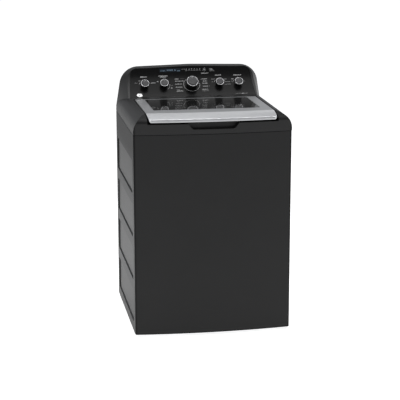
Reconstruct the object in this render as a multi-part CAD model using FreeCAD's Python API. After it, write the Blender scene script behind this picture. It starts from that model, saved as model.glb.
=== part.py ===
"""Top load washing machine, built as separate pieces in millimetres.

Frame: +Z up, -Y is the front, origin on the floor under the middle of the machine.
Every piece is one STEP file in parts/, named after the piece.
"""
import FreeCAD
import Part
import math
import os

V = FreeCAD.Vector
X_AXIS, Y_AXIS, Z_AXIS = V(1, 0, 0), V(0, 1, 0), V(0, 0, 1)

# ---- driving dimensions ------------------------------------------------------------
WIDTH = 686.0            # 27 inch cabinet
SIDE_DEPTH = 643.0       # depth of the side panels
BOW = 20.0               # how far the front bulges past its corners
FOOT_HEIGHT = 14.0       # cabinet above the floor, legs screwed in
SEAM_Z = 897.0           # joint between cabinet and top cover
DECK_Z = 977.0           # flat top of the cover, flush with the lid
CONSOLE_TOP_Z = 1108.0   # highest point of the control console
PORT_OVERHANG = 20.0     # hose connections behind the cabinet
SHEET = 1.2              # cabinet steel
MOULD = 3.0              # moulded plastic wall

HALF_W = WIDTH / 2
BACK_Y = SIDE_DEPTH / 2
SIDE_FRONT_Y = -SIDE_DEPTH / 2
NOSE_Y = SIDE_FRONT_Y - BOW
BOW_R = (HALF_W ** 2 + BOW ** 2) / (2 * BOW)
BOW_CENTRE = V(0, NOSE_Y + BOW_R, 0)
CORNER_R = 8.0
RETURN_Y = SIDE_FRONT_Y + 22.0   # where the front panel's side returns end
SEAM_GAP = 2.0

# lid and the well that it lies in
SHOULDER_R = 68.0        # roll-off of the cover's sides
CREASE_S = 84.0          # distance from the front to the lid's crease
LID_HALF_W = 278.0
LID_BACK_Y = 138.0
LID_BOTTOM_Z = 949.0
LID_TOP_Z = 976.3
LID_GAP = 4.5
LID_CORNER_R = 14.0
LEDGE_Z = 946.0          # floor of the well
WELL_BACK_Y = 148.0
GLASS_HALF_W, GLASS_FRONT_Y, GLASS_BACK_Y = 235.0, -176.0, 125.0
GLASS_T = 4.0
HINGE_Y, HINGE_Z = 130.0, 962.0
MOUTH_HALF_W, MOUTH_FRONT_Y, MOUTH_BACK_Y, MOUTH_R = 228.0, -216.0, 100.0, 60.0

# console: its face is a hollow arc seen from the side
FACE_R = 260.0
KNOB_Y, KNOB_Z, KNOB_LEAN = 235.7, 1022.5, 40.0
FACE_NORMAL = V(0, -math.cos(math.radians(KNOB_LEAN)), math.sin(math.radians(KNOB_LEAN)))
FACE_CENTRE = V(0, KNOB_Y, KNOB_Z) + FACE_NORMAL * FACE_R
FACE_TOP_Z = 1098.0
CROWN = 8.0              # the console top rises this much to its middle
FACE_BOTTOM_Z = 966.0
FASCIA_T = 2.5
SMALL_KNOBS = {"water_temperature_knob": -219.4, "soil_level_knob": -129.8,
               "rinse_options_knob": 129.8, "softener_knob": 219.4}

# tub, basket and drive, all on one upright axis
TUB_Y = -5.0
TUB_R, TUB_BOTTOM_Z, TUB_TOP_Z = 300.0, 290.0, 886.0
BASKET_R, BASKET_BOTTOM_Z, BASKET_TOP_Z = 274.0, 338.0, 864.0
BASKET_T = 1.5
TUB_TRAVEL = 30.0
SPIN_TUBE_R, AGITATOR_SHAFT_R = 16.0, 9.0
PLATFORM_Z = 286.0
BIG_PULLEY_R, MOTOR_PULLEY_R, BELT_Z = 75.0, 20.0, 164.0
MOTOR_X = 172.0
ROD_X, ROD_Y = 296.0, 262.0
ROD_R = 4.0
SPRING_BOTTOM_Z, SPRING_TOP_Z = 262.0, 352.0

PARTS = {}


# ---- small helpers -----------------------------------------------------------------
def keep(name, *solids):
    """Files solids under one piece name."""
    found = []
    for s in solids:
        found += s.Solids
    PARTS[name] = found
    return found


def box(x0, x1, y0, y1, z0, z1):
    return Part.makeBox(x1 - x0, y1 - y0, z1 - z0, V(x0, y0, z0))


def cyl(r, z0, z1, x=0.0, y=0.0):
    return Part.makeCylinder(r, z1 - z0, V(x, y, z0), Z_AXIS)


def ring(r_out, r_in, z0, z1, x=0.0, y=0.0):
    return cyl(r_out, z0, z1, x, y).cut(cyl(r_in, z0 - 1, z1 + 1, x, y))


def fuse(first, *others):
    out = first
    for s in others:
        out = out.fuse(s)
    return out.removeSplitter()


def mirror_x(shape):
    return shape.mirror(V(0, 0, 0), X_AXIS)


def loop(points, place):
    """Closed wire through (u, v, radius) corners, each rounded by its own arc."""
    n = len(points)
    corners = []
    for i, p in enumerate(points):
        a, b, c = points[i - 1], p, points[(i + 1) % n]
        here = V(b[0], b[1], 0)
        to_a, to_c = V(a[0], a[1], 0) - here, V(c[0], c[1], 0) - here
        r = b[2] if len(b) > 2 else 0.0
        if r <= 0:
            corners.append((here, None, here))
            continue
        half = to_a.getAngle(to_c) / 2
        reach = r / math.tan(half)
        to_a.normalize()
        to_c.normalize()
        middle = (to_a + to_c).normalize()
        peak = here + middle * (r / math.sin(half) - r)
        corners.append((here + to_a * reach, peak, here + to_c * reach))
    edges = []
    for i, (start, peak, end) in enumerate(corners):
        if peak is not None:
            edges.append(Part.Arc(place(start), place(peak), place(end)).toShape())
        following = corners[(i + 1) % n][0]
        if (following - end).Length > 1e-6:
            edges.append(Part.LineSegment(place(end), place(following)).toShape())
    return Part.Wire(edges)


def prism_xz(points, y0, y1):
    """Outline drawn in X and Z, running from y0 to y1."""
    face = Part.Face(loop(points, lambda p: V(p.x, y0, p.y)))
    return face.extrude(V(0, y1 - y0, 0))


def prism_xy(points, z0, z1):
    face = Part.Face(loop(points, lambda p: V(p.x, p.y, z0)))
    return face.extrude(V(0, 0, z1 - z0))


def prism_yz(points, x0, x1):
    face = Part.Face(loop(points, lambda p: V(x0, p.x, p.y)))
    return face.extrude(V(x1 - x0, 0, 0))


def bowed(edges):
    """Sweeps a closed side profile, made at x = 0, along the front's bow."""
    face = Part.Face(Part.Wire(edges))
    reach = 9.2
    face.rotate(BOW_CENTRE, Z_AXIS, -reach)
    return face.revolve(BOW_CENTRE, Z_AXIS, 2 * reach)


def bowed_plan(inset, back_y, half_w, corner_r, z0, z1):
    """Plan with the bowed front and rounded front corners, standing from z0 to z1."""
    r = BOW_R - inset
    plan = Part.Face(loop([(-half_w, back_y), (-half_w, NOSE_Y - 50), (half_w, NOSE_Y - 50),
                           (half_w, back_y)], lambda p: V(p.x, p.y, z0)))
    disc = Part.Face(Part.Wire(Part.makeCircle(r, V(0, BOW_CENTRE.y, z0))))
    solid = plan.common(disc).extrude(V(0, 0, z1 - z0))
    front = [e for e in solid.Edges if abs(e.Length - (z1 - z0)) < 1e-3
             and e.CenterOfMass.y < back_y - 5]
    return solid.makeFillet(corner_r, front) if corner_r > 0 else solid


def tube_path(points, r_out, r_in, bend):
    """Hose along straight runs joined by tangent arcs."""
    edges = []
    last = V(*points[0])
    for i in range(1, len(points) - 1):
        here = V(*points[i])
        back = (V(*points[i - 1]) - here).normalize()
        on = (V(*points[i + 1]) - here).normalize()
        half = back.getAngle(on) / 2
        reach = bend / math.tan(half)
        start, end = here + back * reach, here + on * reach
        peak = here + (back + on).normalize() * (bend / math.sin(half) - bend)
        edges.append(Part.LineSegment(last, start).toShape())
        edges.append(Part.Arc(start, peak, end).toShape())
        last = end
    edges.append(Part.LineSegment(last, V(*points[-1])).toShape())
    path = Part.Wire(edges)
    heading = (V(*points[1]) - V(*points[0])).normalize()

    def sweep(r):
        rim = Part.Wire(Part.makeCircle(r, V(*points[0]), heading))
        return path.makePipeShell([rim], True, False)
    return sweep(r_out).cut(sweep(r_in))


def along_face(shape, x=0.0):
    """Moves a shape built on the Z axis so that it stands on the console face at the knobs."""
    out = shape.copy()
    out.rotate(V(0, 0, 0), X_AXIS, 90 - KNOB_LEAN)
    out.translate(V(x, KNOB_Y, KNOB_Z))
    return out


def face_point(z):
    """Point of the console face at height z, and its outward normal."""
    rise = FACE_CENTRE.z - z
    y = FACE_CENTRE.y + math.sqrt(FACE_R ** 2 - rise ** 2)
    return V(0, y, z), (FACE_CENTRE - V(0, y, z)).normalize()


def on_face(shape, x, z):
    """Moves a shape built on the Z axis onto the console face at height z."""
    spot, normal = face_point(z)
    out = shape.copy()
    out.rotate(V(0, 0, 0), X_AXIS, math.degrees(math.atan2(-normal.y, normal.z)))
    out.translate(spot + V(x, 0, 0))
    return out


# ---- cabinet -----------------------------------------------------------------------
def front_panel():
    z0, z1 = FOOT_HEIGHT, SEAM_Z - SEAM_GAP
    skin = bowed_plan(0, RETURN_Y, HALF_W, CORNER_R, z0, z1)
    core = bowed_plan(SHEET, RETURN_Y + 1, HALF_W - SHEET, CORNER_R - SHEET, z0 - 1, z1 + 1)
    flange_hole = bowed_plan(SHEET + 14, RETURN_Y + 1, HALF_W - 20, 4, z0 - 1, z1 + 1)
    flange = bowed_plan(SHEET / 2, RETURN_Y, HALF_W - SHEET / 2, CORNER_R - SHEET / 2, z0, z0 + SHEET)
    flange = flange.cut(flange_hole)
    top_flange = flange.copy()
    top_flange.translate(V(0, 0, z1 - z0 - SHEET))
    soft_corners = prism_xz([(-HALF_W - 1, z0, 6), (HALF_W + 1, z0, 6), (HALF_W + 1, z1, 2),
                             (-HALF_W - 1, z1, 2)], NOSE_Y - 10, RETURN_Y + 10)
    keep("front_panel", fuse(skin.cut(core), flange, top_flange).common(soft_corners))


PAD_Y0, PAD_Y1, PAD_DEPTH, PAD_SLOPE = -268.0, 281.0, 5.0, 5.0
PAD_PITCH, PAD_FIRST_Z, PAD_TALL = 192.7, 56.0, 146.0


def pad(y0, y1, z0, z1, grow):
    """Pressed-in pad of the left side panel, as a tapered block."""
    x = -HALF_W
    r = 10.0

    def rim(at_x, inset):
        a = inset - grow
        return loop([(y0 + a, z0 + a, r), (y1 - a, z0 + a, r), (y1 - a, z1 - a, r),
                     (y0 + a, z1 - a, r)], lambda p: V(at_x, p.x, p.y))
    outer = rim(x - 2, -PAD_SLOPE * 2 / PAD_DEPTH)
    inner = rim(x + PAD_DEPTH + grow, PAD_SLOPE * (1 + grow / PAD_DEPTH))
    return Part.makeLoft([outer, inner], True, True)


def left_side_panel():
    x0 = -HALF_W
    y0, y1, z0, z1 = RETURN_Y + 0.5, BACK_Y, FOOT_HEIGHT, SEAM_Z - SEAM_GAP
    panel = box(x0, x0 + SHEET, y0, y1, z0, z1)
    panel = panel.fuse(box(x0, x0 + 16, y0, y0 + SHEET, z0 + 40, z1))
    panel = panel.fuse(box(x0, x0 + 20, y1 - SHEET, y1, z0, z1))
    panel = panel.fuse(box(x0, x0 + 16, y0, y1, z0, z0 + SHEET))
    half_space = box(x0, x0 + 40, y0, y1, z0, z1)
    lows = [PAD_FIRST_Z + PAD_PITCH * k for k in range(4)]
    for low in lows:
        panel = panel.fuse(pad(PAD_Y0, PAD_Y1, low, low + PAD_TALL, SHEET).common(half_space))
    for low in lows:
        panel = panel.cut(pad(PAD_Y0, PAD_Y1, low, low + PAD_TALL, 0))
    return panel.removeSplitter()


def rear_panel():
    z0, z1 = FOOT_HEIGHT + 2, SEAM_Z
    x1 = HALF_W - 21
    y1 = BACK_Y
    sheet = box(-x1, x1, y1 - SHEET, y1, z0, z1)
    bead_d = 5.0
    for z in (180.0, 400.0, 620.0):
        bead = prism_yz([(y1 - bead_d, z + 6), (y1 - bead_d, z + 34), (y1, z + 40),
                         (y1, z)], -x1 + 60, x1 - 60)
        inner = prism_yz([(y1 - bead_d + SHEET, z + 7), (y1 - bead_d + SHEET, z + 33),
                          (y1 + 0.1, z + 39), (y1 + 0.1, z + 1)],
                         -x1 + 60 + SHEET, x1 - 60 - SHEET)
        sheet = sheet.fuse(bead).cut(inner)
    outlet = box(DRAIN_X - 24, DRAIN_X + 24, y1 - 10, y1 + 10, DRAIN_Z - 24, DRAIN_Z + 24)
    gland = Part.makeCylinder(9.0, 20, V(CORD_X, y1 - 10, CORD_Z), Y_AXIS)
    keep("rear_panel", sheet.cut(outlet).cut(gland).removeSplitter())
    screws = []
    for x in (-x1 + 12, x1 - 12):
        for z in (60.0, 300.0, 540.0, 860.0):
            head = Part.makeCylinder(4.5, 2.2, V(x, y1, z), Y_AXIS)
            slot = box(x - 3, x + 3, y1 + 1.2, y1 + 3, z - 0.6, z + 0.6)
            screws.append(head.cut(slot).cut(slot.copy().rotate(V(x, y1, z), Y_AXIS, 90)))
    keep("rear_screws", *screws)


BASE_FRONT_Y, BASE_WIDE = SIDE_FRONT_Y + 4.0, 42.0
CORD_X, CORD_Z = 258.0, 840.0
DRAIN_X, DRAIN_Z = -235.0, 830.0


def base_frame():
    z0 = FOOT_HEIGHT + SHEET + 0.3
    x, y0, y1 = HALF_W - 2.0, BASE_FRONT_Y, BACK_Y - 1.7
    wide, tall, t = BASE_WIDE, 26.0, 2.0
    floor = box(-x, x, y0, y1, z0, z0 + t).cut(box(-x + wide, x - wide, y0 + wide, y1 - wide, 0, 99))
    web = box(-x + wide - t, x - wide + t, y0 + wide - t, y1 - wide + t, z0, z0 + tall)
    web = web.cut(box(-x + wide, x - wide, y0 + wide, y1 - wide, 0, 99))
    frame = fuse(floor, web)
    for fx in (-FOOT_X, FOOT_X):
        for fy in (FOOT_FRONT_Y, FOOT_BACK_Y):
            frame = frame.fuse(cyl(11, z0, z0 + 10, fx, fy))
    for fx in (-FOOT_X, FOOT_X):
        for fy in (FOOT_FRONT_Y, FOOT_BACK_Y):
            frame = frame.cut(cyl(5.05, 0, 99, fx, fy))
    keep("base_frame", frame.removeSplitter())


FOOT_X, FOOT_FRONT_Y, FOOT_BACK_Y = 312.0, -240.0, 270.0


def feet():
    studs, pads, nuts = [], [], []
    for fx in (-FOOT_X, FOOT_X):
        for fy in (FOOT_FRONT_Y, FOOT_BACK_Y):
            studs.append(cyl(5, 3, 42, fx, fy))
            foot = fuse(cyl(19, 0, 4, fx, fy), Part.makeCone(19, 12, 3.5, V(fx, fy, 4), Z_AXIS))
            pads.append(foot.cut(cyl(5.05, 2.98, 20, fx, fy)))
            hexagon = Part.makePolygon([V(fx + 9 * math.cos(math.radians(a)),
                                          fy + 9 * math.sin(math.radians(a)), 8.2)
                                        for a in range(0, 361, 60)])
            nut = Part.Face(hexagon).extrude(V(0, 0, 5))
            nuts.append(nut.cut(cyl(5.05, 0, 20, fx, fy)))
    keep("foot_studs", *studs)
    keep("foot_pads", *pads)
    keep("foot_lock_nuts", *nuts)


# ---- top cover and lid -------------------------------------------------------------
def cover_profile(inset):
    """Side profile of the cover or lid, from the front's face over the crease to the back."""
    def at(s, z):
        return V(0, NOSE_Y + s, z)
    i = inset
    base = SEAM_Z if inset == 0 else SEAM_Z - 10
    return [
        Part.LineSegment(at(i, base), at(i, 944)).toShape(),
        Part.Arc(at(i, 944), at(5 + 0.8 * i, 955.5 - 0.7 * i), at(16 + i * 0.3, 962 - i)).toShape(),
        Part.Arc(at(16 + i * 0.3, 962 - i), at(49, 971.2 - i), at(CREASE_S, DECK_Z - i)).toShape(),
        Part.LineSegment(at(CREASE_S, DECK_Z - i), at(690, DECK_Z - i)).toShape(),
        Part.LineSegment(at(690, DECK_Z - i), at(690, base)).toShape(),
        Part.LineSegment(at(690, base), at(i, base)).toShape()]


def cover_outer():
    body = bowed(cover_profile(0))
    sides = prism_xz([(-HALF_W, SEAM_Z - 5), (-HALF_W, DECK_Z, SHOULDER_R), (HALF_W, DECK_Z, SHOULDER_R),
                      (HALF_W, SEAM_Z - 5)], NOSE_Y - 20, BACK_Y)
    solid = body.common(sides)
    corner = [e for e in solid.Edges if abs(e.CenterOfMass.x) > 270 and e.CenterOfMass.y < -215
              and e.BoundBox.ZLength > 3 and e.BoundBox.YLength > -1
              and min(v.Point.z for v in e.Vertexes) > SEAM_Z - 6
              and e.BoundBox.YMax < -210 and e.BoundBox.XLength < 60 and not is_side_edge(e)]
    return solid, corner


def is_side_edge(e):
    return e.BoundBox.YLength > 200


def cover_inner():
    body = bowed(cover_profile(MOULD))
    sides = prism_xz([(-HALF_W + MOULD, SEAM_Z - 20), (-HALF_W + MOULD, DECK_Z - MOULD, SHOULDER_R - MOULD),
                      (HALF_W - MOULD, DECK_Z - MOULD, SHOULDER_R - MOULD), (HALF_W - MOULD, SEAM_Z - 20)],
                     NOSE_Y - 20, BACK_Y - MOULD)
    return body.common(sides)


def well_outline(grow):
    g = LID_GAP + grow
    return [(-LID_HALF_W - g, 1000), (-LID_HALF_W - g, 972), (-LID_HALF_W - g + 5, LEDGE_Z - grow, 6),
            (LID_HALF_W + g - 5, LEDGE_Z - grow, 6), (LID_HALF_W + g, 972), (LID_HALF_W + g, 1000)]


def mouth(grow, z0, z1):
    w, y0, y1, r = MOUTH_HALF_W + grow, MOUTH_FRONT_Y - grow, MOUTH_BACK_Y + grow, MOUTH_R + grow
    return prism_xy([(-w, y0, r), (w, y0, r), (w, y1, r), (-w, y1, r)], z0, z1)


GRIP_TOP_HALF, GRIP_BOTTOM_HALF, GRIP_BOTTOM_Z, GRIP_DEPTH = 116.0, 90.0, 917.0, 30.0
BLEACH = (-270.0, -238.0, -176.0, -96.0)      # x0, x1, y0, y1 of the bleach cup
LOCK_X, LOCK_Y = 254.0, -150.0
SKIRT_Z = 912.0


def grip(grow, y_back):
    return prism_xz([(-GRIP_BOTTOM_HALF - grow, GRIP_BOTTOM_Z - grow, 13 + grow),
                     (GRIP_BOTTOM_HALF + grow, GRIP_BOTTOM_Z - grow, 13 + grow),
                     (GRIP_TOP_HALF + grow, LEDGE_Z + 2),
                     (-GRIP_TOP_HALF - grow, LEDGE_Z + 2)], NOSE_Y - 30, y_back)


def top_cover():
    outer, corner = cover_outer()
    try:
        outer = outer.makeFillet(9.0, corner)
    except Exception as problem:
        print("cover corner fillet skipped:", problem)
    print("cover outer valid", outer.isValid(), round(outer.Volume / 1e6, 2))
    shell = outer.cut(cover_inner())
    well_solid = prism_xz(well_outline(MOULD), NOSE_Y - 40, WELL_BACK_Y + MOULD).common(outer)
    grip_wall = grip(MOULD, NOSE_Y + GRIP_DEPTH + MOULD).common(outer)
    skirt = mouth(MOULD, SKIRT_Z, LEDGE_Z - 1).cut(mouth(0, SKIRT_Z - 1, LEDGE_Z))
    cover = shell.fuse(well_solid).fuse(grip_wall).fuse(skirt)
    bx0, bx1, by0, by1 = BLEACH
    cover = cover.cut(prism_xz(well_outline(0), NOSE_Y - 40, WELL_BACK_Y))
    cover = cover.cut(grip(0, NOSE_Y + GRIP_DEPTH))
    cover = cover.cut(mouth(0, SKIRT_Z - 1, LEDGE_Z + 5))
    cover = cover.cut(box(bx0, bx1, by0, by1, LEDGE_Z - 20, LEDGE_Z + 2))
    cover = cover.cut(box(LOCK_X - 7, LOCK_X + 7, LOCK_Y - 16, LOCK_Y + 16, LEDGE_Z - 20, LEDGE_Z + 2))
    pin_hole = Part.makeCylinder(6.0, 620, V(-310, HINGE_Y, HINGE_Z), X_AXIS)
    keep_mid = box(-270, 270, HINGE_Y - 20, HINGE_Y + 20, HINGE_Z - 20, HINGE_Z + 20)
    cover = cover.cut(pin_hole.cut(keep_mid))
    for x in VALVE_PORTS:
        cover = cover.cut(box(x - 19, x + 19, BACK_Y - 10, BACK_Y + 10, VALVE_Z - 19, VALVE_Z + 19))
    nozzle = box(NOZZLE_X - 26, NOZZLE_X + 26, MOUTH_BACK_Y - 5, MOUTH_BACK_Y + 8, 921, 939)
    cover = cover.cut(nozzle)
    keep("top_cover", cover.removeSplitter())


VALVE_PORTS, VALVE_Z = (-232.0, -162.0), 930.0
NOZZLE_X = -100.0


def lid_profile(inset, bottom):
    """Side profile of the lid at x = 0, its lip flush with the cabinet's front."""
    def at(s, z):
        return V(0, NOSE_Y + s, z)
    i = inset
    back = 700
    return [
        Part.LineSegment(at(i, bottom), at(i, 957)).toShape(),
        Part.Arc(at(i, 957), at(2.2 + i * 0.8, 961.2 - i * 0.7), at(7 + i * 0.4, 962.8 - i)).toShape(),
        Part.Arc(at(7 + i * 0.4, 962.8 - i), at(45, 971.6 - i), at(CREASE_S, LID_TOP_Z - i)).toShape(),
        Part.LineSegment(at(CREASE_S, LID_TOP_Z - i), at(back, LID_TOP_Z - i)).toShape(),
        Part.LineSegment(at(back, LID_TOP_Z - i), at(back, bottom)).toShape(),
        Part.LineSegment(at(back, bottom), at(i, bottom)).toShape()]


def lid_outline(inset, bottom):
    w = LID_HALF_W - inset
    r = max(10 - inset, 2)
    return [(-w, 1000), (-w, 972), (-w + 5, bottom, r), (w - 5, bottom, r), (w, 972), (w, 1000)]


def lid():
    outer = bowed(lid_profile(0, LID_BOTTOM_Z))
    outer = outer.common(prism_xz(lid_outline(0, LID_BOTTOM_Z), NOSE_Y - 20, LID_BACK_Y))
    heel = prism_yz([(LID_BACK_Y - 60, LID_BOTTOM_Z - 5), (LID_BACK_Y - 30, 953), (LID_BACK_Y + 5, 953),
                     (LID_BACK_Y + 5, LID_BOTTOM_Z - 5)], -HALF_W, HALF_W)
    outer = outer.cut(heel)
    back_top = [e for e in outer.Edges if abs(e.CenterOfMass.y - LID_BACK_Y) < 0.01
                and abs(e.CenterOfMass.z - LID_TOP_Z) < 0.01]
    outer = outer.makeFillet(5.0, back_top)
    outer = outer.common(bowed_plan(0, 200, LID_HALF_W, LID_CORNER_R, 930, 1000))
    print("lid outer valid", outer.isValid())
    inner = bowed(lid_profile(MOULD, LID_BOTTOM_Z - 5))
    inner = inner.common(prism_xz(lid_outline(MOULD, LID_BOTTOM_Z - 5), NOSE_Y - 20, LID_BACK_Y - MOULD))
    inner = inner.common(bowed_plan(MOULD, 200, LID_HALF_W - MOULD, LID_CORNER_R - MOULD, 930, 1000))
    window = prism_xy([(-GLASS_HALF_W, GLASS_FRONT_Y, 6), (GLASS_HALF_W, GLASS_FRONT_Y, 6),
                       (GLASS_HALF_W, GLASS_BACK_Y, 6), (-GLASS_HALF_W, GLASS_BACK_Y, 6)], 940, 990)
    groove = bowed([
        Part.LineSegment(V(0, NOSE_Y - 3, 954.2), V(0, NOSE_Y + 1.2, 954.2)).toShape(),
        Part.LineSegment(V(0, NOSE_Y + 1.2, 954.2), V(0, NOSE_Y + 1.2, 956)).toShape(),
        Part.LineSegment(V(0, NOSE_Y + 1.2, 956), V(0, NOSE_Y - 3, 956)).toShape(),
        Part.LineSegment(V(0, NOSE_Y - 3, 956), V(0, NOSE_Y - 3, 954.2)).toShape()])
    groove = groove.common(box(-LID_HALF_W + 14, LID_HALF_W - 14, -400, -200, 900, 1000))
    frame = outer.cut(inner).cut(window).cut(groove)
    pocket = box(-LID_HALF_W + 1, -LID_HALF_W + 14, HINGE_Y - 7.5, HINGE_Y + 6, HINGE_Z - 7, HINGE_Z + 7)
    frame = frame.fuse(pocket).fuse(mirror_x(pocket))
    bore = Part.makeCylinder(4.0, 700, V(-350, HINGE_Y, HINGE_Z), X_AXIS)
    frame = frame.cut(bore)
    keep("lid_frame", frame.removeSplitter())
    pin = Part.makeCylinder(3.95, 36, V(-LID_HALF_W - 20, HINGE_Y, HINGE_Z), X_AXIS)
    keep("lid_hinge_pins", pin, mirror_x(pin))
    pane = prism_xy([(-GLASS_HALF_W + 0.6, GLASS_FRONT_Y + 0.6, 5), (GLASS_HALF_W - 0.6, GLASS_FRONT_Y + 0.6, 5),
                     (GLASS_HALF_W - 0.6, GLASS_BACK_Y - 0.6, 5), (-GLASS_HALF_W + 0.6, GLASS_BACK_Y - 0.6, 5)],
                    LID_TOP_Z - 0.8 - GLASS_T, LID_TOP_Z - 0.8)
    keep("lid_glass", pane)
    lid_liner()
    strike_z = LEDGE_Z - 12
    strike = fuse(box(LOCK_X - 3, LOCK_X + 3, LOCK_Y - 11, LOCK_Y + 9, strike_z, LID_LINER_Z),
                  box(LOCK_X - 8, LOCK_X + 8, LOCK_Y - 14, LOCK_Y + 12, LID_LINER_Z - 2, LID_LINER_Z))
    strike = strike.cut(box(LOCK_X - 9, LOCK_X + 9, LOCK_Y - 5, LOCK_Y + 3, strike_z + 3, strike_z + 8))
    keep("lid_strike", strike)


LID_LINER_Z = 952.0


def lid_liner():
    """Moulded pan that closes the lid from below and carries the glass in a raised rim."""
    inside = bowed(lid_profile(MOULD + 0.3, LID_BOTTOM_Z - 5))
    slab = inside.common(box(-HALF_W, HALF_W, NOSE_Y, HINGE_Y - 12, LID_LINER_Z, LID_LINER_Z + 2.5))
    slab = slab.common(prism_xz([(-LID_HALF_W + 9, 940), (-LID_HALF_W + 9, 990), (LID_HALF_W - 9, 990),
                                 (LID_HALF_W - 9, 940)], -400, 200))
    slab = slab.common(bowed_plan(MOULD + 0.3, 200, LID_HALF_W - MOULD - 0.3, LID_CORNER_R - MOULD, 940, 960))
    w, y0, y1 = GLASS_HALF_W - 8, GLASS_FRONT_Y + 8, HINGE_Y - 20
    hole = prism_xy([(-w, y0, 14), (w, y0, 14), (w, y1, 14), (-w, y1, 14)], 940, 990)
    g = MOULD
    wall = prism_xy([(-w - g, y0 - g, 14 + g), (w + g, y0 - g, 14 + g), (w + g, y1 + g, 14 + g),
                     (-w - g, y1 + g, 14 + g)], LID_LINER_Z, LID_TOP_Z - 0.8 - GLASS_T - 0.2)
    keep("lid_liner", slab.fuse(wall).cut(hole).removeSplitter())


def cover_fittings():
    x0, x1, y0, y1 = BLEACH
    g = 0.3
    cup = box(x0 + g, x1 - g, y0 + g, y1 - g, LEDGE_Z - 32, LEDGE_Z)
    cup = cup.fuse(box(x0 - 2.5, x1 + 2.5, y0 - 3, y1 + 3, LEDGE_Z, LEDGE_Z + 1.5))
    cup = cup.cut(box(x0 + 2.3, x1 - 2.3, y0 + 2.3, y1 - 2.3, LEDGE_Z - 30, LEDGE_Z + 5))
    keep("bleach_cup", cup.removeSplitter())
    case = box(LOCK_X - 16, LOCK_X + 16, LOCK_Y - 45, LOCK_Y + 30, LEDGE_Z - 34, LEDGE_Z - MOULD - 0.2)
    slot = box(LOCK_X - 7, LOCK_X + 7, LOCK_Y - 16, LOCK_Y + 16, LEDGE_Z - 20, LEDGE_Z)
    keep("lid_lock", case.cut(slot))
    block = box(-LID_HALF_W - 23, -LID_HALF_W - LID_GAP - 3.3, HINGE_Y - 12, HINGE_Y + 12, HINGE_Z - 11,
                HINGE_Z + 6)
    block = block.cut(Part.makeCylinder(4.02, 40, V(-LID_HALF_W - 30, HINGE_Y, HINGE_Z), X_AXIS))
    keep("hinge_brackets", block, mirror_x(block))


# ---- control console ---------------------------------------------------------------
def console_section(t, inset):
    """Console outline in a plane: t = 0 at the face side, t = 1 at the back."""
    wide0, wide1 = 303.5, HALF_W
    top0, top1 = 284.0, 314.0
    zb, zt = (FACE_BOTTOM_Z - 40, CONSOLE_TOP_Z - 8)
    w_low = wide0 + (wide1 - wide0) * t - inset
    w_top = top0 + (top1 - top0) * t - inset
    z_low = zb - inset - 7 * t
    z_top = zt - 2 + 2 * t - inset
    r = 40 + 48 * t
    return w_low, w_top, z_low, z_top, r


def console_wire(t, inset, y_low, y_top):
    w_low, w_top, z_low, z_top, r = console_section(t, inset)

    def place(p):
        share = (p.y - z_low) / (z_top - z_low)
        return V(p.x, y_low + (y_top - y_low) * share, p.y)
    return loop([(-w_low, z_low), (-w_top, z_top, r), (0, z_top + CROWN, 900.0),
                 (w_top, z_top, r), (w_low, z_low)], place)


def console_solid(inset):
    face_low, _ = face_point(FACE_BOTTOM_Z)
    face_high, _ = face_point(FACE_TOP_Z)
    z_low = console_section(0, inset)[2]
    z_top = console_section(0, inset)[3]
    slope = (face_high.y - face_low.y) / (FACE_TOP_Z - FACE_BOTTOM_Z)
    y_low = face_low.y + (z_low - FACE_BOTTOM_Z) * slope
    y_top = face_low.y + (z_top - FACE_BOTTOM_Z) * slope
    front = console_wire(0, inset, y_low, y_top)
    back = console_wire(1, inset, BACK_Y - inset, BACK_Y - inset)
    return Part.makeLoft([front, back], True, True)


def face_drum(r):
    return Part.makeCylinder(r, 900, V(-450, FACE_CENTRE.y, FACE_CENTRE.z), X_AXIS)


def fascia_outline(grow):
    g = grow
    top = FACE_TOP_Z - 2.5 + g
    return [(-294 - g, FACE_BOTTOM_Z + 3 - g), (-279 - g, top, 30 + g), (0, top + CROWN, 900.0),
            (279 + g, top, 30 + g), (294 + g, FACE_BOTTOM_Z + 3 - g)]


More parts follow.
